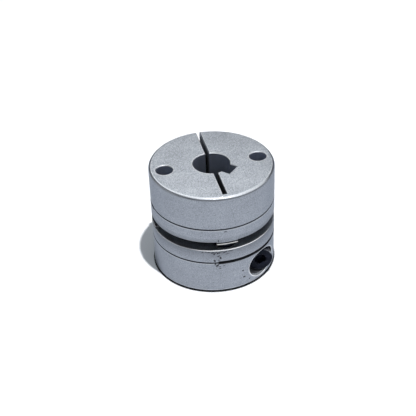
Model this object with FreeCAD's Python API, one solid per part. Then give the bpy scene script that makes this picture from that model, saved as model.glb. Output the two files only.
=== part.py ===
import FreeCAD, Part
import math
import os

V = FreeCAD.Vector
os.makedirs("parts", exist_ok=True)

# ---------------------------------------------------------------------------
# Single-disc flexible shaft coupling, standing on the face of its lower hub.
# Row frame, millimetres: origin at the centre of the lower hub's outer face,
# +Z up along the shafts, +X along the lower hub's clamp slit, -Y the front.
# ---------------------------------------------------------------------------

# hubs
OD = 34.0                 # outer diameter of both hubs
HUB_L = 14.0              # length of one hub, outer face to flange face
GAP = 2.7                 # space between the two flange faces
BORE_D = 10.0             # shaft bore
BORE_CHAMFER = 0.15
RIM_R = 0.7               # rounded rim of the outer face
FLANGE_C = 0.12           # broken edge of the flange face
BASE_C = 0.2              # broken edges of slits, holes and keyway on the outer face
KEY_W = 4.0               # keyway
KEY_TOP_R = 6.8           # distance of the keyway's floor from the axis
KEY_AZ = 135.0            # keyway azimuth in the hub's own frame
SLIT_W = 1.0              # clamp slit, open to the outside
RELIEF_END_R = 15.25      # square end of the relief slot opposite the slit
CROSS_Z = 9.90            # middle of the cross slot and of the turned groove
CROSS_T = 0.8             # thickness of the cross slot
CROSS_X = -2.54           # straight end of the cross slot, past the axis
GROOVE_W = 0.34           # turned groove all round at the cross slot's level
GROOVE_D = 0.3

# clamp screws, M4 socket head
CS_X = 10.2               # screw axis from the hub's axis
CS_Z = 5.15               # screw axis from the hub's outer face
CS_D = 4.0
CS_LEN = 14.0
CS_HEAD_D = 7.0
CS_HEAD_K = 4.0
CS_HEX = 3.0
CS_HEX_T = 2.0
CS_FACE = 12.6            # head's face from the slit's middle plane
CB_D = 8.0                # counterbore
CS_CLEAR_D = 4.5
CS_TAP_END = 8.6          # end of the tapped hole from the slit's middle plane

# disc pack fastening, M3 socket head
PCD = 25.8
DB_D = 3.0
DB_LEN = 6.0
DB_HEAD_D = 5.5
DB_HEAD_K = 3.0
DB_HEX = 2.5
DB_HEX_T = 1.5
BOSS_H = 0.4              # raised pad on the flange face under each spacer plate
PAD_C = 0.2               # broken edge round the outside of the pad
PAD_W = 5.65              # width of pads and spacer plates
PAD_IN_R = 9.9            # inner end of pads and spacer plates
PLATE_T = 0.5
PLATE_R = 16.95           # rounded outer end of the spacer plates
WASHER_D = 6.0
WASHER_T = 0.5
LEAF_T = 0.15
LEAF_N = 6
LEAF_IN_R = 9.0
LEAF_OUT_R = 13.6
LEAF_EAR_R = 3.0
LEAF_HOLE_D = 3.2
LEAF_BLEND_R = 1.6
ACCESS_D = 4.5            # key access hole in line with the other hub's bolt
POCKET_D = 6.2            # room for the other hub's bolt head
POCKET_DEPTH = 3.0
THREAD_PLAY = 0.05        # radial play between a plain shank and its tapped hole

R = OD / 2
H = 2 * HUB_L + GAP
BOLT_R = PCD / 2
PACK_Z0 = HUB_L + BOSS_H + PLATE_T
PACK_T = LEAF_T * LEAF_N


def cyl(r, h, base, direction=V(0, 0, 1)):
    return Part.makeCylinder(r, h, base, direction)


def box(x0, x1, y0, y1, z0, z1):
    return Part.makeBox(x1 - x0, y1 - y0, z1 - z0, V(x0, y0, z0))


def prism(points, vector):
    """Straight prism from a closed polygon of 3D points."""
    wire = Part.makePolygon([V(*p) for p in points] + [V(*points[0])])
    return Part.Face(wire).extrude(V(*vector))


def hexagon(across_flats, depth, base, direction, up):
    """Hexagonal prism along direction from base, one pair of corners along up."""
    d = V(direction).normalize()
    u = V(up).normalize()
    w = d.cross(u)
    rc = across_flats / math.sqrt(3)
    pts = []
    for k in range(6):
        a = math.radians(60 * k)
        pts.append(base + u * (rc * math.cos(a)) + w * (rc * math.sin(a)))
    wire = Part.makePolygon(pts + [pts[0]])
    return Part.Face(wire).extrude(d * depth)


def turned(profile):
    """Full turn about Z of a closed profile: points, or (point, arc middle) pairs for arcs."""
    edges = []
    n = len(profile)
    for i in range(n):
        a = profile[i]
        b = profile[(i + 1) % n]
        pa, pb = V(a[0], 0, a[1]), V(b[0], 0, b[1])
        if len(b) == 4:
            edges.append(Part.Arc(pa, V(b[2], 0, b[3]), pb).toShape())
        else:
            edges.append(Part.makeLine(pa, pb))
    face = Part.Face(Part.Wire(edges))
    return face.revolve(V(0, 0, 0), V(0, 0, 1), 360)


def slot_with_break(x0, x1, half_w, z1, c):
    """Slot along X from the outer face up to z1, with broken edges on the outer face."""
    s = box(x0, x1, -half_w, half_w, -1, z1)
    v = prism([(x0, -half_w - c, 0), (x0, half_w + c, 0), (x0, half_w, c), (x0, -half_w, c)], (x1 - x0, 0, 0))
    return [s, v]


def make_hub():
    """Clamp hub in its own frame: outer face at z = 0, flange face at z = HUB_L, clamp slit along +X."""
    rb, c, f, fc = BORE_D / 2, BORE_CHAMFER, RIM_R, FLANGE_C
    s = f * (1 - math.sqrt(0.5))
    profile = [
        (rb + c, 0),
        (R - f, 0),
        (R, f, R - s, s),
        (R, CROSS_Z - GROOVE_W / 2),
        (R - GROOVE_D, CROSS_Z),
        (R, CROSS_Z + GROOVE_W / 2),
        (R, HUB_L - fc),
        (R - fc, HUB_L),
        (rb + c, HUB_L),
        (rb, HUB_L - c),
        (rb, c),
    ]
    hub = turned(profile)

    # pads that carry the disc pack, at the slit side and opposite it, with the same turned broken edge as the flange
    pad_top = HUB_L + BOSS_H
    rim = turned([(0, HUB_L - 1), (R, HUB_L - 1), (R, pad_top - PAD_C), (R - PAD_C, pad_top), (0, pad_top)])
    pads = []
    for sgn in (1, -1):
        a, b = sorted((sgn * PAD_IN_R, sgn * (R + 1)))
        pads.append(box(a, b, -PAD_W / 2, PAD_W / 2, HUB_L - 0.6, HUB_L + BOSS_H).common(rim))
    hub = hub.fuse(pads)

    cuts = []
    # clamp slit, relief slot and cross slot
    top = CROSS_Z + CROSS_T / 2
    cuts += slot_with_break(0, R + 1, SLIT_W / 2, top, BASE_C)
    cuts += slot_with_break(-RELIEF_END_R, 0, SLIT_W / 2, top, BASE_C)
    cuts.append(box(CROSS_X, R + 1, -R - 1, R + 1, CROSS_Z - CROSS_T / 2, top))
    # keyway
    k = box(0, KEY_TOP_R, -KEY_W / 2, KEY_W / 2, -1, HUB_L + 1)
    kc = Part.makeLoft([
        Part.makePolygon([V(-1, -KEY_W / 2 - BASE_C, 0), V(KEY_TOP_R + BASE_C, -KEY_W / 2 - BASE_C, 0),
                          V(KEY_TOP_R + BASE_C, KEY_W / 2 + BASE_C, 0), V(-1, KEY_W / 2 + BASE_C, 0),
                          V(-1, -KEY_W / 2 - BASE_C, 0)]),
        Part.makePolygon([V(-1, -KEY_W / 2, BASE_C), V(KEY_TOP_R, -KEY_W / 2, BASE_C),
                          V(KEY_TOP_R, KEY_W / 2, BASE_C), V(-1, KEY_W / 2, BASE_C),
                          V(-1, -KEY_W / 2, BASE_C)]),
    ], True, True)
    for shape in (k, kc):
        shape.rotate(V(0, 0, 0), V(0, 0, 1), KEY_AZ)
        cuts.append(shape)
    # clamp screw: counterbore, clearance hole, tapped hole
    seat = CS_FACE - CS_HEAD_K
    cuts.append(cyl(CB_D / 2, R, V(CS_X, -seat, CS_Z), V(0, -1, 0)))
    cuts.append(cyl(CS_CLEAR_D / 2, seat + 1, V(CS_X, 0, CS_Z), V(0, -1, 0)))
    cuts.append(cyl(CS_D / 2 + THREAD_PLAY, CS_TAP_END, V(CS_X, 0, CS_Z), V(0, 1, 0)))
    cuts.append(Part.makeCone(CS_D / 2 + THREAD_PLAY, 0, CS_D / 2, V(CS_X, CS_TAP_END, CS_Z), V(0, 1, 0)))
    # tapped holes for the disc bolts
    hole_z0 = CROSS_Z + CROSS_T / 2 - 0.2
    for sgn in (1, -1):
        cuts.append(cyl(DB_D / 2 + THREAD_PLAY, HUB_L + BOSS_H + 1 - hole_z0, V(sgn * BOLT_R, 0, hole_z0)))
    # key access holes with pockets for the other hub's bolt heads
    for sgn in (1, -1):
        cuts.append(cyl(ACCESS_D / 2, HUB_L + 2, V(0, sgn * BOLT_R, -1)))
        cuts.append(Part.makeCone(ACCESS_D / 2 + BASE_C, ACCESS_D / 2, BASE_C, V(0, sgn * BOLT_R, 0)))
        cuts.append(cyl(POCKET_D / 2, POCKET_DEPTH + 1, V(0, sgn * BOLT_R, HUB_L - POCKET_DEPTH)))
    for c_ in cuts:
        hub = hub.cut(c_)
    hub = hub.removeSplitter()

    # broken edge round the mouth of the screw's counterbore
    try:
        mouth = []
        for e in hub.Edges:
            on_rim = all(abs(math.hypot(v.X, v.Y) - R) < 1e-4 for v in e.Vertexes)
            p = e.valueAt((e.FirstParameter + e.LastParameter) / 2)
            r_mid = math.hypot(p.x, p.y)
            d_axis = math.hypot(p.x - CS_X, p.z - CS_Z)
            if on_rim and abs(r_mid - R) < 1e-3 and abs(d_axis - CB_D / 2) < 1e-3 and p.y < 0:
                mouth.append(e)
        broken = hub.makeChamfer(0.12, mouth)
        if broken.isValid() and abs(broken.Volume - hub.Volume) < 5 and len(broken.Solids) == 1:
            hub = broken
            print("counterbore mouth broken on", len(mouth), "edges")
    except Exception as problem:
        print("counterbore mouth left sharp:", problem)
    return hub.Solids[0]


def make_screw(d, length, head_d, head_k, hex_af, hex_t, seat, away, up):
    """Socket head screw: seat is the point under its head, away points from the shank's tip to the head."""
    a = V(away).normalize()
    head = cyl(head_d / 2, head_k, seat, a)
    # rounded upper edge and small lower edge of the head
    top_edges = [e for e in head.Edges if e.Closed and (e.CenterOfMass - seat).dot(a) > head_k / 2]
    head = head.makeFillet(0.08 * d, top_edges)
    shank = cyl(d / 2, length, seat, a * -1)
    tip_edges = [e for e in shank.Edges if e.Closed and (e.CenterOfMass - seat).dot(a) < -length / 2]
    shank = shank.makeChamfer(0.12 * d, tip_edges)
    s = head.fuse(shank).removeSplitter()
    face = seat + a * head_k
    s = s.cut(hexagon(hex_af, hex_t, face, a * -1, V(up)))
    # countersunk edge of the socket
    s = s.cut(Part.makeCone(hex_af / math.sqrt(3) + 0.02, hex_af / 2, hex_af / math.sqrt(3) + 0.02 - hex_af / 2, face, a * -1))
    return s.Solids[0]


def make_washer(centre_x, z0):
    w = cyl(WASHER_D / 2, WASHER_T, V(centre_x, 0, z0))
    return w.cut(cyl(LEAF_HOLE_D / 2, WASHER_T + 2, V(centre_x, 0, z0 - 1)))


def make_plate(sgn):
    a, b = sorted((sgn * PAD_IN_R, sgn * (R + 1)))
    z0 = HUB_L + BOSS_H
    p = box(a, b, -PAD_W / 2, PAD_W / 2, z0, z0 + PLATE_T)
    p = p.common(cyl(PLATE_R, 4, V(0, 0, z0 - 1)))
    inner = [e for e in p.Edges
             if len(e.Vertexes) == 2 and abs(e.Vertexes[0].X - e.Vertexes[1].X) < 1e-6
             and abs(e.Vertexes[0].Y - e.Vertexes[1].Y) < 1e-6 and abs(abs(e.Vertexes[0].X) - PAD_IN_R) < 1e-6]
    p = p.makeFillet(0.8, inner)
    return p.cut(cyl(LEAF_HOLE_D / 2, PLATE_T + 2, V(sgn * BOLT_R, 0, z0 - 1)))


def make_leaf(i):
    """One flexing leaf: a thin ring with four ears."""
    z0 = PACK_Z0 + i * LEAF_T
    leaf = cyl(LEAF_OUT_R, LEAF_T, V(0, 0, z0))
    for k in range(4):
        a = math.radians(90 * k)
        leaf = leaf.fuse(cyl(LEAF_EAR_R, LEAF_T, V(BOLT_R * math.cos(a), BOLT_R * math.sin(a), z0)))
    leaf = leaf.removeSplitter()
    concave = []
    for e in leaf.Edges:
        if len(e.Vertexes) == 2:
            p, q = e.Vertexes[0], e.Vertexes[1]
            if abs(p.X - q.X) < 1e-6 and abs(p.Y - q.Y) < 1e-6 and abs(math.hypot(p.X, p.Y) - LEAF_OUT_R) < 1e-3:
                concave.append(e)
    print("leaf", i + 1, "blend edges", len(concave))
    leaf = leaf.makeFillet(LEAF_BLEND_R, concave)
    leaf = leaf.cut(cyl(LEAF_IN_R, LEAF_T + 2, V(0, 0, z0 - 1)))
    for k in range(4):
        a = math.radians(90 * k)
        leaf = leaf.cut(cyl(LEAF_HOLE_D / 2, LEAF_T + 2, V(BOLT_R * math.cos(a), BOLT_R * math.sin(a), z0 - 1)))
    return leaf.Solids[0]


def to_upper(shape):
    """Turns a shape made in a hub's own frame over, onto the upper side: (x, y, z) -> (y, x, H - z)."""
    s = shape.copy()
    s.rotate(V(0, 0, 0), V(1, 1, 0), 180)
    s.translate(V(0, 0, H))
    return s


nodes = {}
hub = make_hub()
clamp_screw = make_screw(CS_D, CS_LEN, CS_HEAD_D, CS_HEAD_K, CS_HEX, CS_HEX_T,
                         V(CS_X, -(CS_FACE - CS_HEAD_K), CS_Z), (0, -1, 0), (math.sin(math.radians(8)), 0, math.cos(math.radians(8))))
WASHER_Z = PACK_Z0 + PACK_T
side_parts = {}
for name, sgn in (("slit", 1), ("far", -1)):
    side_parts[name] = (
        make_plate(sgn),
        make_washer(sgn * BOLT_R, WASHER_Z),
        make_screw(DB_D, DB_LEN, DB_HEAD_D, DB_HEAD_K, DB_HEX, DB_HEX_T,
                   V(sgn * BOLT_R, 0, WASHER_Z + WASHER_T), (0, 0, 1), (1, 0, 0)),
    )

nodes["lower_hub"] = hub
nodes["lower_clamp_screw"] = clamp_screw
for name, where in (("slit", "right"), ("far", "left")):
    plate, washer, bolt = side_parts[name]
    nodes["spacer_plate_" + where] = plate
    nodes["bolt_washer_" + where] = washer
    nodes["disc_bolt_" + where] = bolt

nodes["upper_hub"] = to_upper(hub)
nodes["upper_clamp_screw"] = to_upper(clamp_screw)
for name, where in (("slit", "back"), ("far", "front")):
    plate, washer, bolt = side_parts[name]
    nodes["spacer_plate_" + where] = to_upper(plate)
    nodes["bolt_washer_" + where] = to_upper(washer)
    nodes["disc_bolt_" + where] = to_upper(bolt)

for i in range(LEAF_N):
    nodes["disc_leaf_%d" % (i + 1)] = make_leaf(i)

for name, shape in nodes.items():
    b = shape.BoundBox
    print("%-20s valid=%s solids=%d vol=%9.3f  x %.2f..%.2f y %.2f..%.2f z %.2f..%.2f" % (
        name, shape.isValid(), len(shape.Solids), shape.Volume, b.XMin, b.XMax, b.YMin, b.YMax, b.ZMin, b.ZMax))
    shape.exportStep("parts/%s.step" % name)
print(len(nodes), "nodes")
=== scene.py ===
import math
import random

import bpy
import bmesh
from mathutils import Matrix, Vector, noise


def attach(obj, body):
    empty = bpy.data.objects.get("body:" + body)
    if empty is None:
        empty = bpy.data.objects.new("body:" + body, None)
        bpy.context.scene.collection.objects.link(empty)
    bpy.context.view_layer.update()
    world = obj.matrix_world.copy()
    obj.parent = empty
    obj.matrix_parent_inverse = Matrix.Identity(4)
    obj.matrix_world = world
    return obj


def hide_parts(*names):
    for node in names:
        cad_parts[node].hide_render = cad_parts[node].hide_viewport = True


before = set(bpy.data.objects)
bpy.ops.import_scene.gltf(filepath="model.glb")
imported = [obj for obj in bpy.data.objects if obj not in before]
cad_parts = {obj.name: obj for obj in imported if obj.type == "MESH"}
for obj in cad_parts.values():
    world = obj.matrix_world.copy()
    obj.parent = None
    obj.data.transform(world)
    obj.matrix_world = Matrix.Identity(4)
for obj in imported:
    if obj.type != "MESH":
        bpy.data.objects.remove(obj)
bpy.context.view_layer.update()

MM = 0.001
SCENE = bpy.context.scene

# sizes of the disc coupling, millimetres, as in the CAD model
R = 17.0                       # outer radius
H = 30.7                       # overall length
HUB_L = 14.0
BOLT_R = 12.9
CS_X, CS_Z, CS_FACE = 10.2, 5.15, 12.6
CB_R = 4.0                     # counterbore of the clamp screw
CROSS_Z = 9.90                 # middle of the cross slot and the turned groove, from a hub's outer face
CROSS_T = 0.8
CROSS_X = -2.54                # straight end of the cross slot, past the axis
RIM_R = 0.7                    # rounded rim of the outer faces
FLANGE_C = 0.12                # broken edge of the flange faces
PACK_Z1 = 15.8                 # upper side of the disc pack
WASHER_T = 0.5


# ---------------------------------------------------------------------------
# camera: above the front, a little to the left of the lower hub's screw
# ---------------------------------------------------------------------------
def make_camera():
    azimuth, elevation, roll = math.radians(-12.0), math.radians(35.42), math.radians(-2.005)
    back = Vector((math.sin(azimuth) * math.cos(elevation), -math.cos(azimuth) * math.cos(elevation), math.sin(elevation)))
    fwd = -back
    right = fwd.cross(Vector((0, 0, 1))).normalized()
    up = right.cross(fwd)
    r_ = right * math.cos(roll) + up * math.sin(roll)
    u_ = -right * math.sin(roll) + up * math.cos(roll)
    pos = Vector((0, 0, 14.0)) + back * 263.9 + r_ * -1.378 + u_ * 1.51
    data = bpy.data.cameras.new("camera")
    data.sensor_fit = "HORIZONTAL"
    data.sensor_width = 36.0
    data.lens = 947.4 * 36.0 / 416.0
    data.clip_start, data.clip_end = 0.01, 20.0
    cam = bpy.data.objects.new("camera", data)
    m = Matrix.Identity(4)
    for i in range(3):
        m[i][0], m[i][1], m[i][2], m[i][3] = r_[i], u_[i], -fwd[i], pos[i] * MM
    cam.matrix_world = m
    SCENE.collection.objects.link(cam)
    SCENE.camera = cam


make_camera()


# ---------------------------------------------------------------------------
# node helpers
# ---------------------------------------------------------------------------
class Net:
    """Builds one material's nodes. Lengths in its coordinates are millimetres."""

    def __init__(self, name):
        self.mat = bpy.data.materials.new(name)
        self.mat.use_nodes = True
        self.t = self.mat.node_tree
        self.t.nodes.clear()
        self.out = self.t.nodes.new("ShaderNodeOutputMaterial")
        self.bsdf = self.t.nodes.new("ShaderNodeBsdfPrincipled")
        self.t.links.new(self.bsdf.outputs["BSDF"], self.out.inputs["Surface"])
        tc = self.t.nodes.new("ShaderNodeTexCoord")
        self.mm = self.vmath("SCALE", tc.outputs["Object"], scale=1000.0)
        sep = self.t.nodes.new("ShaderNodeSeparateXYZ")
        self.t.links.new(self.mm, sep.inputs[0])
        self.x, self.y, self.z = sep.outputs

    def link(self, a, b):
        self.t.links.new(a, b)

    def put(self, socket, value):
        if isinstance(value, (int, float)):
            socket.default_value = value
        elif isinstance(value, (tuple, list)):
            socket.default_value = value
        else:
            self.link(value, socket)

    def math(self, op, a, b=None, c=None, clamp=False):
        n = self.t.nodes.new("ShaderNodeMath")
        n.operation = op
        n.use_clamp = clamp
        self.put(n.inputs[0], a)
        if b is not None:
            self.put(n.inputs[1], b)
        if c is not None:
            self.put(n.inputs[2], c)
        return n.outputs[0]

    def vmath(self, op, a, b=None, scale=None):
        n = self.t.nodes.new("ShaderNodeVectorMath")
        n.operation = op
        self.put(n.inputs[0], a)
        if b is not None:
            self.put(n.inputs[1], b)
        if scale is not None:
            n.inputs["Scale"].default_value = scale
        return n.outputs["Value"] if op in ("DOT_PRODUCT", "LENGTH", "DISTANCE") else n.outputs["Vector"]

    def noise(self, scale, detail=2.0, rough=0.5, vector=None, distortion=0.0):
        n = self.t.nodes.new("ShaderNodeTexNoise")
        n.inputs["Scale"].default_value = scale
        n.inputs["Detail"].default_value = detail
        n.inputs["Roughness"].default_value = rough
        n.inputs["Distortion"].default_value = distortion
        self.link(self.mm if vector is None else vector, n.inputs["Vector"])
        return n.outputs["Fac"]

    def voronoi(self, scale, vector=None, feature="F1"):
        n = self.t.nodes.new("ShaderNodeTexVoronoi")
        n.feature = feature
        n.inputs["Scale"].default_value = scale
        self.link(self.mm if vector is None else vector, n.inputs["Vector"])
        return n.outputs["Distance"]

    def ramp(self, fac, lo, hi, a=0.0, b=1.0, smooth=True):
        n = self.t.nodes.new("ShaderNodeMapRange")
        n.interpolation_type = "SMOOTHSTEP" if smooth else "LINEAR"
        n.clamp = True
        self.put(n.inputs["Value"], fac)
        n.inputs["From Min"].default_value = lo
        n.inputs["From Max"].default_value = hi
        n.inputs["To Min"].default_value = a
        n.inputs["To Max"].default_value = b
        return n.outputs["Result"]

    def mix(self, fac, a, b):
        n = self.t.nodes.new("ShaderNodeMix")
        n.data_type = "RGBA"
        n.clamp_factor = True
        self.put(n.inputs[0], fac)
        for s, v in ((n.inputs[6], a), (n.inputs[7], b)):
            if isinstance(v, (tuple, list)):
                s.default_value = tuple(v) + (1.0,) * (4 - len(v))
            else:
                self.link(v, s)
        return n.outputs[2]

    def bump(self, height, distance_mm, strength=1.0, normal=None):
        n = self.t.nodes.new("ShaderNodeBump")
        n.inputs["Strength"].default_value = strength
        n.inputs["Distance"].default_value = distance_mm * MM
        self.link(height, n.inputs["Height"])
        if normal is not None:
            self.link(normal, n.inputs["Normal"])
        return n.outputs["Normal"]

    def bevel(self, radius_mm, samples=6):
        n = self.t.nodes.new("ShaderNodeBevel")
        n.samples = samples
        n.inputs["Radius"].default_value = radius_mm * MM
        return n.outputs["Normal"]

    def edge(self, bevel_normal, gain=3.0):
        """0 on flat faces, towards 1 on edges."""
        g = self.t.nodes.new("ShaderNodeNewGeometry")
        d = self.vmath("DOT_PRODUCT", bevel_normal, g.outputs["Normal"])
        return self.math("MULTIPLY", self.math("SUBTRACT", 1.0, d), gain, clamp=True)

    def normal_z(self):
        g = self.t.nodes.new("ShaderNodeNewGeometry")
        sep = self.t.nodes.new("ShaderNodeSeparateXYZ")
        self.link(g.outputs["Normal"], sep.inputs[0])
        return sep.outputs[2]

    def cavity(self, distance_mm, samples=8):
        """1 in the open, towards 0 in slits, holes and joints."""
        n = self.t.nodes.new("ShaderNodeAmbientOcclusion")
        n.samples = samples
        n.inputs["Distance"].default_value = distance_mm * MM
        return n.outputs["AO"]

    def attribute(self, name):
        n = self.t.nodes.new("ShaderNodeAttribute")
        n.attribute_type = "GEOMETRY"
        n.attribute_name = name
        return n.outputs["Fac"]

    def times(self, *factors):
        value = factors[0]
        for f in factors[1:]:
            value = self.math("MULTIPLY", value, f)
        return value

    def most(self, *values):
        value = values[0]
        for v in values[1:]:
            value = self.math("MAXIMUM", value, v)
        return value

    def without(self, value, mask):
        """value, faded out where mask is 1."""
        return self.math("MULTIPLY", value, self.math("SUBTRACT", 1.0, mask))

    def band(self, value, lo, hi, soft):
        """1 between lo and hi, 0 outside."""
        return self.times(self.ramp(value, lo - soft, lo), self.ramp(value, hi, hi + soft, 1.0, 0.0))

    def radius(self):
        return self.math("SQRT", self.math("ADD", self.math("MULTIPLY", self.x, self.x), self.math("MULTIPLY", self.y, self.y)))

    def set(self, **values):
        names = {"color": "Base Color", "metallic": "Metallic", "roughness": "Roughness", "normal": "Normal",
                 "ior": "IOR", "specular": "Specular IOR Level", "tint": "Specular Tint"}
        for k, v in values.items():
            s = self.bsdf.inputs[names[k]]
            if isinstance(v, (tuple, list)):
                s.default_value = tuple(v) + (1.0,) * (4 - len(v))
            else:
                self.put(s, v)
        return self.mat


# ---------------------------------------------------------------------------
# materials
# ---------------------------------------------------------------------------
ALU_A = (0.160, 0.175, 0.201)
ALU_B = (0.382, 0.411, 0.460)
ALU_EDGE = (0.78, 0.80, 0.83)
SHADE = (0.012, 0.013, 0.017)


def aluminium(name, upper, smudge_and_shade):
    """Fine bead-blasted and clear-anodised aluminium: satin grain, slightly uneven tone, bright worn broken edges that
    also carry painted highlights, smoother bored walls, painted shade in slits and recesses. upper is True for the hub
    that is turned over."""
    m = Net(name)
    # the hub's own frame: sx runs towards its clamp slit, sy across it, sz from its outer face
    sx, sy = (m.y, m.x) if upper else (m.x, m.y)
    sz = m.math("SUBTRACT", H, m.z) if upper else m.z
    r = m.radius()
    level = m.math("ABSOLUTE", m.normal_z())

    grain = m.noise(3.2, 2.0, 0.6)
    fine = m.noise(5.0, 1.0, 0.6)
    cloud = m.noise(0.17, 3.0, 0.5)
    streak = m.noise(0.9, 2.0, 0.5, vector=m.vmath("MULTIPLY", m.mm, (0.25, 0.25, 2.6)))
    tone = m.math("ADD", m.math("MULTIPLY", grain, 0.16), m.math("MULTIPLY", fine, 0.64))
    tone = m.math("ADD", tone, m.math("MULTIPLY", cloud, 0.12))
    tone = m.math("ADD", tone, m.math("MULTIPLY", streak, 0.08))
    # the grain shows more on the flat faces than round the side
    tone = m.math("ADD", m.math("MULTIPLY", m.math("SUBTRACT", tone, 0.5), m.ramp(level, 0.3, 0.9, 0.70, 1.05)), 0.5)
    color = m.mix(m.ramp(tone, 0.37, 0.63, 0.0, 1.0, smooth=False), ALU_A, ALU_B)

    # bored walls: bare metal, smoother, with painted shade darkening them deeper inside
    bored = m.times(m.ramp(r, 16.2, 16.4, 1.0, 0.0), m.ramp(level, 0.15, 0.4, 1.0, 0.0))
    color = m.mix(bored, color, (0.56, 0.61, 0.72))
    color = m.mix(m.times(bored, m.ramp(sz, 5.0, 9.5, 0.0, 0.76)), color, (0.060, 0.078, 0.106))
    rim = m.times(m.ramp(r, 16.1, 16.3), m.ramp(sz, RIM_R, RIM_R + 0.06, 1.0, 0.0))

    # painted shade, near black where light hardly gets in: slits, holes, the cross slot and its lips, the relief slot
    # and the counterbore's wall; the turned groove is darkened near black too, and the pads' outer faces at the joints
    # get painted shade with some dirt
    from_slot = m.math("ABSOLUTE", m.math("SUBTRACT", sz, CROSS_Z))
    outside = m.ramp(r, 16.3, 16.5)
    groove = m.times(m.ramp(from_slot, 0.19, 0.25, 1.0, 0.0), outside)
    slot = m.times(m.ramp(from_slot, 0.42, 0.45, 1.0, 0.0), m.ramp(r, 16.82, 16.94, 1.0, 0.0))
    lips = m.times(m.ramp(from_slot, 0.47, 0.52, 1.0, 0.0), m.ramp(sx, CROSS_X - 0.10, CROSS_X - 0.02), outside)
    across = m.math("ABSOLUTE", sy)
    relief = m.times(m.ramp(across, 0.54, 0.62, 1.0, 0.0), m.band(sx, -15.28, -4.98, 0.04))
    joint = m.times(m.ramp(sz, HUB_L + 0.02, HUB_L + 0.07), outside)
    # the screw's counterbore: light gets in past the head only to a strip of its lower wall beside the mouth; the rest
    # of the wall gets painted shade
    from_screw = m.math("SQRT", m.math("ADD", m.math("POWER", m.math("SUBTRACT", sx, CS_X), 2.0),
                                       m.math("POWER", m.math("SUBTRACT", sz, CS_Z), 2.0)))
    mouth_y = m.math("SQRT", m.math("MAXIMUM", m.math("SUBTRACT", R * R, m.math("MULTIPLY", sx, sx)), 0.0))
    inside = m.math("ADD", sy, mouth_y)              # depth below the mouth, along the screw
    lit_wall = m.times(m.band(from_screw, CB_R - 0.06, CB_R + 0.10, 0.05), m.ramp(sz, 2.0, 2.7, 1.0, 0.0),
                       m.ramp(inside, 0.80, 1.15, 1.0, 0.0), m.ramp(sy, -7.5, -7.0, 1.0, 0.0))
    ao = m.cavity(1.5, 12)
    deep = m.without(m.without(m.ramp(ao, 0.38, 0.80, 1.0, 0.0), rim), lit_wall)
    dim_wall = m.without(m.times(m.band(from_screw, CB_R - 0.06, CB_R + 0.05, 0.04), m.ramp(sy, -8.0, -7.0, 1.0, 0.0),
                                 m.ramp(inside, 0.10, 0.20)), lit_wall)
    deep = m.most(deep, m.math("MULTIPLY", groove, 0.95), slot, lips, joint, relief, m.math("MULTIPLY", dim_wall, 0.93))
    color = m.mix(m.math("MULTIPLY", deep, 0.97), color, SHADE)

    # bright worn metal along the broken edges, a little uneven, also serving as a painted highlight; not on the rounded
    # rims and not inside slits
    be = m.bevel(0.11, 8)
    uneven = m.ramp(m.noise(0.8, 3.0, 0.6), 0.30, 0.60, 0.70, 1.0)
    chamfer = m.times(m.band(sz, HUB_L - FLANGE_C, HUB_L + 0.02, 0.03), m.ramp(r, R - FLANGE_C - 0.05, R - FLANGE_C - 0.01),
                      m.ramp(level, 0.3, 0.5))
    wear_and_highlight = m.most(m.edge(be, 4.0), m.math("MULTIPLY", chamfer, 0.62))
    near_groove = m.times(m.ramp(from_slot, 0.34, 0.42, 1.0, 0.0), outside)
    wear_and_highlight = m.without(m.without(m.without(m.times(wear_and_highlight, uneven), near_groove), deep), rim)
    # painted highlight: a light line along the cross slot's lower lip
    lower_lip = m.times(m.band(sz, CROSS_Z - 0.46, CROSS_Z - 0.30, 0.08) if not upper
                        else m.band(sz, CROSS_Z + 0.30, CROSS_Z + 0.46, 0.08), outside, 0.22)
    # painted highlight: a bright line beside the edges of the bore, holes and slits on the outer face
    hole = m.math("SQRT", m.math("ADD", m.math("POWER", sx, 2.0),
                                 m.math("POWER", m.math("SUBTRACT", m.math("ABSOLUTE", sy), BOLT_R), 2.0)))
    beside = m.most(m.band(r, 5.12, 5.30, 0.08), m.band(hole, 2.42, 2.62, 0.08),
                    m.times(m.band(across, 0.68, 0.82, 0.07), m.ramp(r, 5.0, 5.1), m.ramp(sx, -15.4, -15.2)))
    beside = m.times(beside, m.ramp(sz, 0.05, 0.10, 1.0, 0.0), 0.30)
    # the counterbore's mouth: a worn bright chamfer with a fainter painted highlight beside it
    mouth = m.times(m.most(m.band(from_screw, CB_R + 0.02, CB_R + 0.16, 0.05),
                           m.math("MULTIPLY", m.band(from_screw, CB_R + 0.16, CB_R + 0.28, 0.10), 0.30)),
                    m.ramp(r, 16.86, 16.90), m.ramp(sy, -8.0, -7.0, 1.0, 0.0))
    wear_and_highlight = m.most(wear_and_highlight, m.without(m.times(m.most(lower_lip, beside, mouth), uneven), deep))
    color = m.mix(m.math("MULTIPLY", wear_and_highlight, 0.9), color, ALU_EDGE)
    # the turned rims are brighter metal, partly a painted highlight; painted shade makes a faint dark line below the
    # flange's bright edge and along the upper rim, and darkens the flanges towards the gap
    color = m.mix(m.times(rim, 0.35 if upper else 0.9), color, (0.52, 0.55, 0.60))
    painted_shade_band = m.times(m.band(sz, HUB_L - 0.42, HUB_L - 0.24, 0.07), m.ramp(r, 16.9, 16.95), 0.38)
    if upper:
        painted_shade_band = m.most(painted_shade_band, m.times(m.band(sz, RIM_R - 0.28, RIM_R + 0.02, 0.05), m.ramp(r, 16.5, 16.6),
                                    m.ramp(m.y, -16.0, -9.0, 0.70, 0.40)))
        painted_shade_band = m.most(painted_shade_band, m.times(m.band(sz, HUB_L - 1.0, HUB_L - 0.24, 0.30), m.ramp(r, 16.9, 16.95), 0.26))
    else:
        painted_shade_band = m.most(painted_shade_band, m.times(m.ramp(sz, 10.6, 13.85, 0.0, 0.55, smooth=False), m.band(sz, 10.6, HUB_L - 0.16, 0.05),
                                    m.ramp(r, 16.9, 16.95)))
    color = m.mix(painted_shade_band, color, (0.10, 0.108, 0.125))

    if smudge_and_shade:
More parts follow.
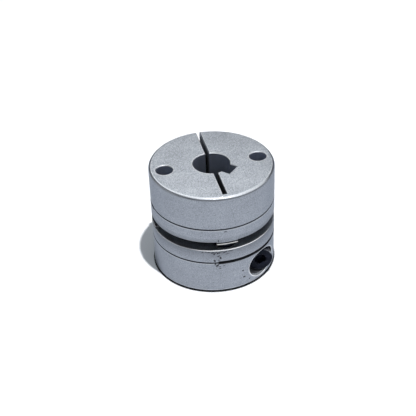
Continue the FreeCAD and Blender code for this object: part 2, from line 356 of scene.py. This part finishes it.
        # smudges beside the start of the cross slot, and painted shade at the far end of the gap
        az = m.math("ARCTAN2", m.y, m.x)
        da = m.math("DIVIDE", m.math("SUBTRACT", az, math.radians(-98.0)), math.radians(9.5))
        dz = m.math("DIVIDE", m.math("SUBTRACT", m.z, 10.6), 3.0)
        d2 = m.math("ADD", m.math("MULTIPLY", da, da), m.math("MULTIPLY", dz, dz))
        patch = m.ramp(d2, 0.1, 1.5, 1.0, 0.0)
        blot = m.ramp(m.noise(0.75, 3.0, 0.6, distortion=0.4), 0.48, 0.72, 0.0, 1.0)
        color = m.mix(m.times(patch, blot, 0.30), color, (0.10, 0.105, 0.12))
        color = m.mix(m.times(m.ramp(m.x, -15.5, -14.5, 1.0, 0.0), m.ramp(m.z, 14.0, 14.06), 0.8), color, (0.07, 0.075, 0.085))

    rough = m.math("ADD", m.ramp(grain, 0.3, 0.7, 0.37, 0.44, smooth=False), m.math("MULTIPLY", wear_and_highlight, -0.12))
    rough = m.math("SUBTRACT", rough, m.math("MULTIPLY", bored, 0.04))
    rough = m.math("SUBTRACT", rough, m.math("MULTIPLY", rim, 0.10))
    rough = m.math("ADD", rough, m.math("MULTIPLY", deep, 0.4))
    height = m.math("ADD", m.math("MULTIPLY", fine, 0.35), m.math("MULTIPLY", grain, 0.9))
    height = m.without(height, rim)
    normal = m.bump(height, 0.004, 0.6, normal=m.bevel(0.07, 4))
    metallic = m.without(m.math("SUBTRACT", 1.0, m.math("MULTIPLY", lit_wall, 0.6)), m.math("MULTIPLY", deep, 0.95))
    return m.set(color=color, metallic=metallic, roughness=rough, normal=normal, tint=(0.60, 0.62, 0.66, 1.0))


def black_oxide(name):
    """Black-oxide screw steel with a thin oil film, worn edges, and bare metal on the head's rounded edge that is
    partly a painted highlight.
    """
    m = Net(name)
    fine = m.noise(9.0, 3.0, 0.6)
    cloud = m.noise(0.9, 3.0, 0.6)
    color = m.mix(m.ramp(cloud, 0.35, 0.65), (0.002, 0.0028, 0.006), (0.0085, 0.010, 0.0185))
    bn = m.bevel(0.07, 5)
    wear_and_highlight = m.math("MULTIPLY", m.edge(bn, 3.5), m.ramp(m.noise(1.6, 3.0, 0.6), 0.42, 0.62))
    # bare metal shows through on the rounded edge of a head, set where it also makes a painted highlight
    rub_glint = m.times(m.attribute("rub_glint"), m.ramp(m.noise(1.1, 3.0, 0.6), 0.36, 0.56, 0.25, 1.0))
    bare = m.most(m.math("MULTIPLY", wear_and_highlight, 0.7), m.math("MULTIPLY", rub_glint, 0.9))
    color = m.mix(bare, color, (0.42, 0.44, 0.48))
    rough = m.math("SUBTRACT", m.ramp(fine, 0.3, 0.7, 0.30, 0.40), m.math("MULTIPLY", rub_glint, 0.06))
    normal = m.bump(fine, 0.006, 0.4, normal=bn)
    return m.set(color=color, metallic=m.math("MULTIPLY", bare, 0.95), roughness=rough, normal=normal, specular=0.20, ior=1.30,
                 tint=(0.62, 0.74, 1.0, 1.0))


def ground_steel(name, base_a, base_b, direction, rough_lo, rough_hi):
    """Bare steel with fine grinding lines along one direction."""
    m = Net(name)
    stretched = m.vmath("MULTIPLY", m.mm, direction)
    lines = m.noise(1.0, 4.0, 0.7, vector=stretched)
    cloud = m.noise(0.6, 3.0, 0.55)
    color = m.mix(m.ramp(lines, 0.3, 0.7), base_a, base_b)
    color = m.mix(m.ramp(cloud, 0.45, 0.75, 0.0, 0.25), color, (base_a[0] * 0.6, base_a[1] * 0.6, base_a[2] * 0.6))
    # painted shade in crevices, from ambient occlusion
    color = m.mix(m.ramp(m.cavity(0.5, 8), 0.30, 0.60, 0.78, 0.0), color, SHADE)
    # painted shade: dark lines along the spacer plates' edges beside the pad and beside the disc pack
    seam_shade = m.times(m.ramp(m.math("ABSOLUTE", m.math("SUBTRACT", m.z, H / 2)), 0.80, 0.85), m.ramp(m.radius(), 16.5, 16.6))
    seam_shade = m.most(seam_shade, m.times(m.ramp(m.math("ABSOLUTE", m.math("SUBTRACT", m.z, H / 2)), 0.52, 0.57, 0.92, 0.0),
                                m.ramp(m.radius(), 16.5, 16.6)))
    color = m.mix(seam_shade, color, SHADE)
    # painted shade on the parts at the far end of the gap
    color = m.mix(m.times(m.ramp(m.x, -15.5, -14.5, 0.8, 0.0), m.ramp(m.z, 14.0, 14.06)), color, (0.07, 0.075, 0.085))
    bn = m.bevel(0.04, 4)
    rough = m.ramp(lines, 0.3, 0.7, rough_lo, rough_hi)
    normal = m.bump(lines, 0.004, 0.5, normal=bn)
    return m.set(color=color, metallic=1.0, roughness=rough, normal=normal)


def dirt(name):
    """Dark oily specks and burrs."""
    m = Net(name)
    n = m.noise(6.0, 3.0, 0.6)
    color = m.mix(m.ramp(n, 0.35, 0.65), (0.006, 0.006, 0.010), (0.036, 0.037, 0.052))
    return m.set(color=color, metallic=0.0, roughness=m.ramp(n, 0.3, 0.7, 0.45, 0.7), normal=m.bump(n, 0.02, 0.6), specular=0.4)


def floor_material():
    m = Net("pale_table")
    n = m.noise(0.02, 3.0, 0.5)
    color = m.mix(m.ramp(n, 0.3, 0.7), (0.815, 0.83, 0.875), (0.835, 0.85, 0.895))
    # painted contact shadow on the table close to the things standing on it
    color = m.mix(m.ramp(m.cavity(0.8, 16), 0.66, 0.84, 0.99, 0.0), color, SHADE)
    mat = m.set(color=color, metallic=0.0, roughness=0.85, specular=0.1)
    # further out the table runs into an evenly lit studio backdrop
    glow = m.t.nodes.new("ShaderNodeEmission")
    glow.inputs["Color"].default_value = (0.98, 0.99, 1.0, 1.0)
    glow.inputs["Strength"].default_value = 1.03
    both = m.t.nodes.new("ShaderNodeMixShader")
    m.link(m.ramp(m.radius(), 110.0, 380.0), both.inputs[0])
    m.link(m.bsdf.outputs["BSDF"], both.inputs[1])
    m.link(glow.outputs[0], both.inputs[2])
    m.link(both.outputs[0], m.out.inputs["Surface"])
    return mat


MAT = {
    "lower_alu": aluminium("blasted_aluminium_lower", False, True),
    "upper_alu": aluminium("blasted_aluminium_upper", True, False),
    "black": black_oxide("black_oxide_steel"),
    "spacer": ground_steel("ground_spacer_steel", (0.46, 0.46, 0.45), (0.62, 0.62, 0.60), (1.2, 1.2, 26.0), 0.26, 0.38),
    "leaf": ground_steel("spring_leaf_steel", (0.30, 0.31, 0.32), (0.42, 0.43, 0.44), (9.0, 0.7, 30.0), 0.24, 0.38),
    "dirt": dirt("dark_specks"),
    "floor": floor_material(),
}


def dress(node, material):
    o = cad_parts[node]
    o.data.materials.clear()
    o.data.materials.append(material)
    return o


for side in ("lower", "upper"):
    dress(side + "_hub", MAT[side + "_alu"])
    dress(side + "_clamp_screw", MAT["black"])
for place in ("right", "left", "front", "back"):
    dress("spacer_plate_" + place, MAT["spacer"])
    dress("bolt_washer_" + place, MAT["black"])
    dress("disc_bolt_" + place, MAT["black"])
for i in range(6):
    dress("disc_leaf_%d" % (i + 1), MAT["leaf"])


# ---------------------------------------------------------------------------
# smooth turned faces and crisp edges on the CAD nodes, as modifiers
# ---------------------------------------------------------------------------
def smooth_group(angle_deg):
    """Geometry nodes: shade everything smooth but edges sharper than the angle."""
    g = bpy.data.node_groups.new("smooth_by_edge_angle", "GeometryNodeTree")
    g.interface.new_socket("Geometry", in_out="INPUT", socket_type="NodeSocketGeometry")
    g.interface.new_socket("Geometry", in_out="OUTPUT", socket_type="NodeSocketGeometry")
    gi, go = g.nodes.new("NodeGroupInput"), g.nodes.new("NodeGroupOutput")
    faces = g.nodes.new("GeometryNodeSetShadeSmooth")
    faces.domain = "FACE"
    edges = g.nodes.new("GeometryNodeSetShadeSmooth")
    edges.domain = "EDGE"
    edges.inputs["Shade Smooth"].default_value = False
    angle = g.nodes.new("GeometryNodeInputMeshEdgeAngle")
    over = g.nodes.new("FunctionNodeCompare")
    over.data_type = "FLOAT"
    over.operation = "GREATER_THAN"
    over.inputs[1].default_value = math.radians(angle_deg)
    g.links.new(gi.outputs[0], faces.inputs["Geometry"])
    g.links.new(faces.outputs["Geometry"], edges.inputs["Geometry"])
    g.links.new(angle.outputs["Unsigned Angle"], over.inputs[0])
    g.links.new(over.outputs["Result"], edges.inputs["Selection"])
    g.links.new(edges.outputs["Geometry"], go.inputs[0])
    return g


SMOOTH = smooth_group(31.0)


def merge_group():
    """Geometry nodes: joins the split corners of an imported mesh."""
    g = bpy.data.node_groups.new("join_split_corners", "GeometryNodeTree")
    g.interface.new_socket("Geometry", in_out="INPUT", socket_type="NodeSocketGeometry")
    g.interface.new_socket("Geometry", in_out="OUTPUT", socket_type="NodeSocketGeometry")
    gi, go = g.nodes.new("NodeGroupInput"), g.nodes.new("NodeGroupOutput")
    merge = g.nodes.new("GeometryNodeMergeByDistance")
    merge.inputs["Distance"].default_value = 1e-7
    g.links.new(gi.outputs[0], merge.inputs["Geometry"])
    g.links.new(merge.outputs["Geometry"], go.inputs[0])
    return g


MERGE = merge_group()


def smooth(o, merge=True):
    if merge:
        m = o.modifiers.new("join", "NODES")
        m.node_group = MERGE
    m = o.modifiers.new("smooth", "NODES")
    m.node_group = SMOOTH
    w = o.modifiers.new("weighted", "WEIGHTED_NORMAL")
    w.mode = "FACE_AREA"
    w.keep_sharp = True
    w.weight = 80


for n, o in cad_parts.items():
    smooth(o)


# ---------------------------------------------------------------------------
# socket head screws with knurled heads and real threads
# ---------------------------------------------------------------------------
def screw_mesh(name, d, pitch, length, head_d, head_k, hex_af, hex_t, knurls, seat, away, up):
    """Socket head cap screw in the row frame. seat, away and up as in the CAD model, millimetres."""
    bm = bmesh.new()
    per = 6
    n = knurls * per
    rh = head_d / 2
    rs = d / 2
    minor = rs - 0.54 * pitch
    round_r = 0.08 * d
    knurl_lo, knurl_hi = 0.35, head_k - round_r - 0.12
    knurl_depth = 0.022 * head_d * 0.5

    def ring(radius_of, z_of):
        vs = []
        for i in range(n):
            a = 2 * math.pi * i / n
            r, z = radius_of(i, a), z_of(i, a)
            vs.append(bm.verts.new((r * math.cos(a), r * math.sin(a), z)))
        return vs

    def hex_r(a):
        b = (a + math.pi / 6) % (math.pi / 3) - math.pi / 6
        # corner at a = 0
        b = (a % (math.pi / 3)) - math.pi / 6
        return hex_af / 2 / math.cos(b)

    def knurl(amount):
        def f(i, a):
            k = i % per
            depth = (0.0, 0.0, 0.55, 1.0, 0.55, 0.0)[k]
            return rh - knurl_depth * depth * amount
        return f

    rc = hex_af / math.sqrt(3) + 0.10
    rings = []
    # shank, from the tip up to the head's seat
    steps = 12
    count = int(round(length / pitch * steps))
    tip_c = 0.12 * d
    zs = [-length + length * j / count for j in range(count + 1)]
    rings.append(ring(lambda i, a: max(minor - 0.05, 0.1) * 0.985, lambda i, a: -length))

    def thread_r(a, z):
        t = (z / pitch - a / (2 * math.pi)) % 1.0
        tri = abs(t - 0.5) * 2                # 1 at the crest, 0 at the root
        v = min(1.0, max(0.0, (tri - 0.10) / 0.76))
        r = minor + (rs - minor) * v
        r = min(r, minor - 0.05 + (z + length) * 1.0 + 0.02) if z < -length + tip_c + (rs - minor) else r
        if z > -1.2 * pitch:                   # thread runs out under the head
            f = min(1.0, max(0.0, (z + 1.2 * pitch) / (1.0 * pitch)))
            r = r + (rs - r) * f
        return r

    for z in zs[1:-1]:
        rings.append(ring(lambda i, a, z=z: thread_r(a, z), lambda i, a, z=z: z))
    rings.append(ring(lambda i, a: rs + 0.02, lambda i, a: -0.06))
    rings.append(ring(lambda i, a: rs + 0.10, lambda i, a: 0.0))
    # head
    rings.append(ring(lambda i, a: rh - 0.14, lambda i, a: 0.0))
    rings.append(ring(lambda i, a: rh - 0.04, lambda i, a: 0.05))
    rings.append(ring(lambda i, a: rh, lambda i, a: 0.16))
    rings.append(ring(knurl(0.0), lambda i, a: knurl_lo - 0.06))
    rings.append(ring(knurl(1.0), lambda i, a: knurl_lo + 0.06))
    rings.append(ring(knurl(1.0), lambda i, a: (knurl_lo + knurl_hi) / 2))
    rings.append(ring(knurl(1.0), lambda i, a: knurl_hi - 0.06))
    rings.append(ring(knurl(0.0), lambda i, a: knurl_hi + 0.06))
    rub_glint_rings = {}
    for k in range(7):
        t = math.pi / 2 * k / 6
        rub_glint_rings[len(rings)] = (0.0, 0.3, 0.9, 1.0, 0.7, 0.15, 0.0)[k]
        rings.append(ring(lambda i, a, t=t: rh - round_r + round_r * math.cos(t),
                          lambda i, a, t=t: head_k - round_r + round_r * math.sin(t)))
    rings.append(ring(lambda i, a: (rh - round_r) * 0.78 + rc * 0.22, lambda i, a: head_k))
    rings.append(ring(lambda i, a: rc, lambda i, a: head_k))
    rings.append(ring(lambda i, a: hex_r(a), lambda i, a: head_k - (rc - hex_r(a)) * 0.9))
    rings.append(ring(lambda i, a: hex_r(a), lambda i, a: head_k - hex_t * 0.5))
    rings.append(ring(lambda i, a: hex_r(a), lambda i, a: head_k - hex_t))
    rings.append(ring(lambda i, a: hex_af * 0.40, lambda i, a: head_k - hex_t - 0.03))
    bottom = bm.verts.new((0, 0, head_k - hex_t - 0.45))
    tip = bm.verts.new((0, 0, -length))
    bm.verts.index_update()

    # bare metal on the head's rounded edge, strongest where it makes a painted highlight
    def rub_glint_at(i):
        a = 360.0 * i / n
        return 0.08 + 0.6 * math.exp(-((a - 185.0) / 24.0) ** 2) + 1.1 * math.exp(-((a - 318.0) / 15.0) ** 2)

    rub_glint_amounts = {v.index: amount * rub_glint_at(i) for k, amount in rub_glint_rings.items() for i, v in enumerate(rings[k])}

    for a_, b_ in zip(rings, rings[1:]):
        for i in range(n):
            j = (i + 1) % n
            bm.faces.new((a_[i], a_[j], b_[j], b_[i]))
    for i in range(n):
        j = (i + 1) % n
        bm.faces.new((rings[-1][i], rings[-1][j], bottom))
        bm.faces.new((rings[0][j], rings[0][i], tip))
    bmesh.ops.recalc_face_normals(bm, faces=bm.faces)

    w = Vector(away).normalized()
    u = Vector(up)
    u = (u - w * u.dot(w)).normalized()
    v = w.cross(u)
    m = Matrix(((u.x, v.x, w.x, seat[0]), (u.y, v.y, w.y, seat[1]), (u.z, v.z, w.z, seat[2]), (0, 0, 0, 1)))
    bm.transform(Matrix.Scale(MM, 4) @ m)
    mesh = bpy.data.meshes.new(name)
    bm.to_mesh(mesh)
    bm.free()
    rub_glint = mesh.attributes.new("rub_glint", "FLOAT", "POINT")
    for index, amount in rub_glint_amounts.items():
        rub_glint.data[index].value = amount
    mesh.shade_smooth() if hasattr(mesh, "shade_smooth") else None
    mesh.set_sharp_from_angle(angle=math.radians(32))
    o = bpy.data.objects.new(name, mesh)
    SCENE.collection.objects.link(o)
    mesh.materials.append(MAT["black"])
    return o


def flip(p):
    return (p[1], p[0], H - p[2])


def flip_dir(p):
    return (p[1], p[0], -p[2])


def add_screws():
    tilt = math.radians(8.0)
    seat = (CS_X, -(CS_FACE - 4.0), CS_Z)
    up = (math.sin(tilt), 0.0, math.cos(tilt))
    clamp = dict(d=4.0, pitch=0.7, length=14.0, head_d=7.0, head_k=4.0, hex_af=3.0, hex_t=2.0, knurls=44)
    jobs = [("lower_clamp_screw", "lower_side", clamp, seat, (0, -1, 0), up),
            ("upper_clamp_screw", "upper_side", clamp, flip(seat), flip_dir((0, -1, 0)), flip_dir(up))]
    bolt = dict(d=3.0, pitch=0.5, length=6.0, head_d=5.5, head_k=3.0, hex_af=2.5, hex_t=1.5, knurls=34)
    for name, sgn in (("right", 1), ("left", -1)):
        s = (sgn * BOLT_R, 0.0, PACK_Z1 + WASHER_T)
        jobs.append(("disc_bolt_" + name, "lower_side", bolt, s, (0, 0, 1), (1, 0, 0)))
    for name, sgn in (("back", 1), ("front", -1)):
        s = (sgn * BOLT_R, 0.0, PACK_Z1 + WASHER_T)
        jobs.append(("disc_bolt_" + name, "upper_side", bolt, flip(s), flip_dir((0, 0, 1)), flip_dir((1, 0, 0))))
    for node, body, size, s, away, up_ in jobs:
        o = screw_mesh(node + "_threaded", seat=s, away=away, up=up_, **size)
        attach(o, body)
        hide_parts(node)


add_screws()


# ---------------------------------------------------------------------------
# specks and burrs on the sides, where the photograph shows them
# ---------------------------------------------------------------------------
def specks(name, body, marks, seed):
    """marks: (azimuth deg, z mm, length mm, width mm, lean deg, stand mm). Each is a small closed lump on the side."""
    rnd = random.Random(seed)
    bm = bmesh.new()
    for az, z, length, width, lean, stand in marks:
        a = math.radians(az)
        out = Vector((math.cos(a), math.sin(a), 0))
        along = Vector((-math.sin(a), math.cos(a), 0))
        upv = Vector((0, 0, 1))
        c, s = math.cos(math.radians(lean)), math.sin(math.radians(lean))
        t1 = along * c + upv * s
        t2 = -along * s + upv * c
        start = len(bm.verts)
        made = bmesh.ops.create_icosphere(bm, subdivisions=3, radius=1.0)
        ox, oy = rnd.uniform(-50, 50), rnd.uniform(-50, 50)
        for v in made["verts"]:
            p = v.co.copy()
            k = 1.0 + 0.55 * noise.noise(Vector((p.x * 1.3 + ox, p.y * 1.3 + oy, p.z * 1.3)))
            k += 0.25 * noise.noise(Vector((p.x * 3.1 + oy, p.y * 3.1 + ox, p.z * 3.1)))
            x1, x2 = p.x * k * length * 0.62, p.y * k * width * 0.68
            x3 = p.z * k * stand
            q = out * (R + x3) + along * 0
            q = Vector((0, 0, z)) + out * (R + x3) + t1 * x1 + t2 * x2
            # keep it on the round side
            side = Vector((q.x, q.y, 0))
            shift = (R + x3) / side.length
            v.co = Vector((q.x * shift, q.y * shift, q.z)) * MM
    mesh = bpy.data.meshes.new(name)
    bm.to_mesh(mesh)
    bm.free()
    for p in mesh.polygons:
        p.use_smooth = True
    o = bpy.data.objects.new(name, mesh)
    SCENE.collection.objects.link(o)
    mesh.materials.append(MAT["dirt"])
    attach(o, body)
    return o


LOWER_MARKS = [
    (-112.8, 13.48, 0.55, 0.22, 25, 0.03), (-109.9, 13.52, 0.50, 0.16, 20, 0.02), (-107.3, 13.48, 0.60, 0.22, 5, 0.03),
    (-103.8, 13.35, 0.85, 0.30, 12, 0.04), (-102.2, 12.90, 0.75, 0.26, 48, 0.04), (-100.7, 13.45, 0.60, 0.22, 60, 0.04),
    (-99.2, 13.12, 0.50, 0.30, 40, 0.04), (-98.0, 13.25, 0.55, 0.30, 0, 0.04), (-95.7, 13.55, 0.70, 0.18, 0, 0.03),
    (-93.3, 13.28, 0.45, 0.32, 10, 0.04), (-91.9, 13.42, 0.80, 0.22, 14, 0.04), (-88.8, 13.50, 0.60, 0.16, 8, 0.03),
    (-86.5, 13.44, 0.60, 0.15, 6, 0.02), (-90.3, 12.70, 0.90, 0.12, 12, 0.015),
    (-98.9, 12.12, 0.45, 0.18, -35, 0.02), (-98.0, 12.25, 0.40, 0.16, 50, 0.02), (-96.7, 11.52, 0.34, 0.62, 8, 0.04),
    (-102.1, 10.66, 0.46, 0.60, 10, 0.035), (-98.4, 10.85, 0.55, 0.20, 0, 0.015), (-101.6, 9.45, 0.34, 0.40, 0, 0.02),
    (-99.9, 8.98, 0.80, 0.42, 42, 0.05), (-99.2, 9.20, 0.42, 0.36, 0, 0.05),
    (-97.5, 8.58, 0.50, 0.14, 5, 0.015), (-93.8, 8.78, 0.60, 0.14, 0, 0.012), (-97.4, 7.93, 0.40, 0.16, 0, 0.012),
    (-75.6, 5.56, 0.50, 0.36, 0, 0.03), (-74.2, 3.32, 0.52, 0.38, 0, 0.03), (-68.6, 1.90, 0.30, 0.26, 30, 0.015),
    (-77.8, 3.20, 0.34, 0.14, 10, 0.012),
]
UPPER_MARKS = [
    (-91.8, 20.02, 0.62, 0.20, 4, 0.03), (-98.3, 17.22, 0.20, 0.62, 4, 0.03),
]
specks("burr_specks_lower", "lower_side", LOWER_MARKS, 3)
specks("burr_specks_upper", "upper_side", UPPER_MARKS, 5)


# ---------------------------------------------------------------------------
# floor and light
# ---------------------------------------------------------------------------
def make_floor():
    mesh = bpy.data.meshes.new("table")
    s = 3.0
    mesh.from_pydata([(-s, -s, 0), (s, -s, 0), (s, s, 0), (-s, s, 0)], [], [(0, 1, 2, 3)])
    mesh.materials.append(MAT["floor"])
    o = bpy.data.objects.new("table", mesh)
    SCENE.collection.objects.link(o)


def area(name, azimuth, elevation, distance, size, size_y, radiance, color, disk=False):
    """An area light aimed at the coupling. azimuth is the compass angle of its place in the row frame, radiance in W/sr/m2."""
    data = bpy.data.lights.new(name, "AREA")
    data.shape = "DISK" if disk else "RECTANGLE"
    data.size = size
    if not disk:
        data.size_y = size_y
    surface = math.pi * size * size / 4 if disk else size * size_y
    data.energy = radiance * math.pi * surface
    data.color = color
    o = bpy.data.objects.new(name, data)
    a, e = math.radians(azimuth), math.radians(elevation)
    d = Vector((math.cos(a) * math.cos(e), math.sin(a) * math.cos(e), math.sin(e)))
    o.location = Vector((0, 0, 0.015)) + d * distance
    o.rotation_mode = "QUATERNION"
    o.rotation_quaternion = d.to_track_quat("Z", "Y")
    o.visible_camera = False
    SCENE.collection.objects.link(o)
    return o


def make_world():
    """Even fill for matt surfaces. Polished ones mirror a dimmer room."""
    world = bpy.data.worlds.new("studio")
    SCENE.world = world
    world.use_nodes = True
    t = world.node_tree
    t.nodes.clear()

    def background(color, strength):
        n = t.nodes.new("ShaderNodeBackground")
        n.inputs["Color"].default_value = tuple(color) + (1.0,)
        n.inputs["Strength"].default_value = strength
        return n.outputs[0]

    def blend(fac, a_, b_):
        n = t.nodes.new("ShaderNodeMixShader")
        t.links.new(fac, n.inputs[0])
        t.links.new(a_, n.inputs[1])
        t.links.new(b_, n.inputs[2])
        return n.outputs[0]

    path = t.nodes.new("ShaderNodeLightPath")
    seen = background((0.97, 0.975, 0.98), 1.05)
    out = t.nodes.new("ShaderNodeOutputWorld")
    lit = blend(path.outputs["Is Glossy Ray"], background(*FILL), background(*TENT))
    t.links.new(blend(path.outputs["Is Camera Ray"], lit, seen), out.inputs[0])


def ceiling(name, u0, u1, v0, v1, height, radiance, color):
    """Level panel above the coupling, only mirrored by polished faces. u runs to the back, v to the right, metres."""
    data = bpy.data.lights.new(name, "AREA")
    data.shape = "RECTANGLE"
    data.size, data.size_y = u1 - u0, v1 - v0
    data.energy = radiance * math.pi * (u1 - u0) * (v1 - v0)
    data.color = color
    o = bpy.data.objects.new(name, data)
    back = math.radians(78.0)
    u, v = (u0 + u1) / 2, (v0 + v1) / 2
    o.location = (u * math.cos(back) + v * math.sin(back), u * math.sin(back) - v * math.cos(back), height)
    o.rotation_euler = (0.0, 0.0, back)
    o.visible_camera = False
    o.visible_diffuse = False
    SCENE.collection.objects.link(o)
    return o


TENT = ((0.75, 0.85, 1.0), 0.12)
FILL = ((0.90, 0.965, 0.99), 0.405)
make_floor()
make_world()
ceiling("roof_panel", -0.30, 0.10, -0.09, 0.35, 0.181, 1.90, (1.0, 0.985, 0.945))
ceiling("back_panel", 0.10, 0.235, -0.085, 0.060, 0.181, 3.18, (1.0, 0.985, 0.94))
ceiling("left_panel", -0.25, 0.25, -0.60, -0.25, 0.181, 0.92, (1.0, 0.985, 0.945))
KEY_D, KEY_SIZE = 1.20, 0.035
KEY_FLOOR = 0.93              # the table's brightness from the key light alone
key_radiance = KEY_FLOOR / 0.85 * math.pi / (math.pi * KEY_SIZE ** 2 / 4 / KEY_D ** 2)
KEY_SHINE = 0.48              # the key light's share in polished faces, so that highlights stay soft
key = area("key", -64.4, 77.3, KEY_D, KEY_SIZE, KEY_SIZE, key_radiance, (1.0, 0.985, 0.96), disk=True)
key.visible_glossy = False
shine = area("key_shine", -64.4, 77.3, KEY_D, KEY_SIZE, KEY_SIZE, key_radiance * KEY_SHINE, (1.0, 0.985, 0.96), disk=True)
shine.visible_diffuse = False

SCENE.view_settings.view_transform = "Standard"
SCENE.view_settings.look = "None"
SCENE.view_settings.exposure = 0.0
SCENE.view_settings.gamma = 1.0
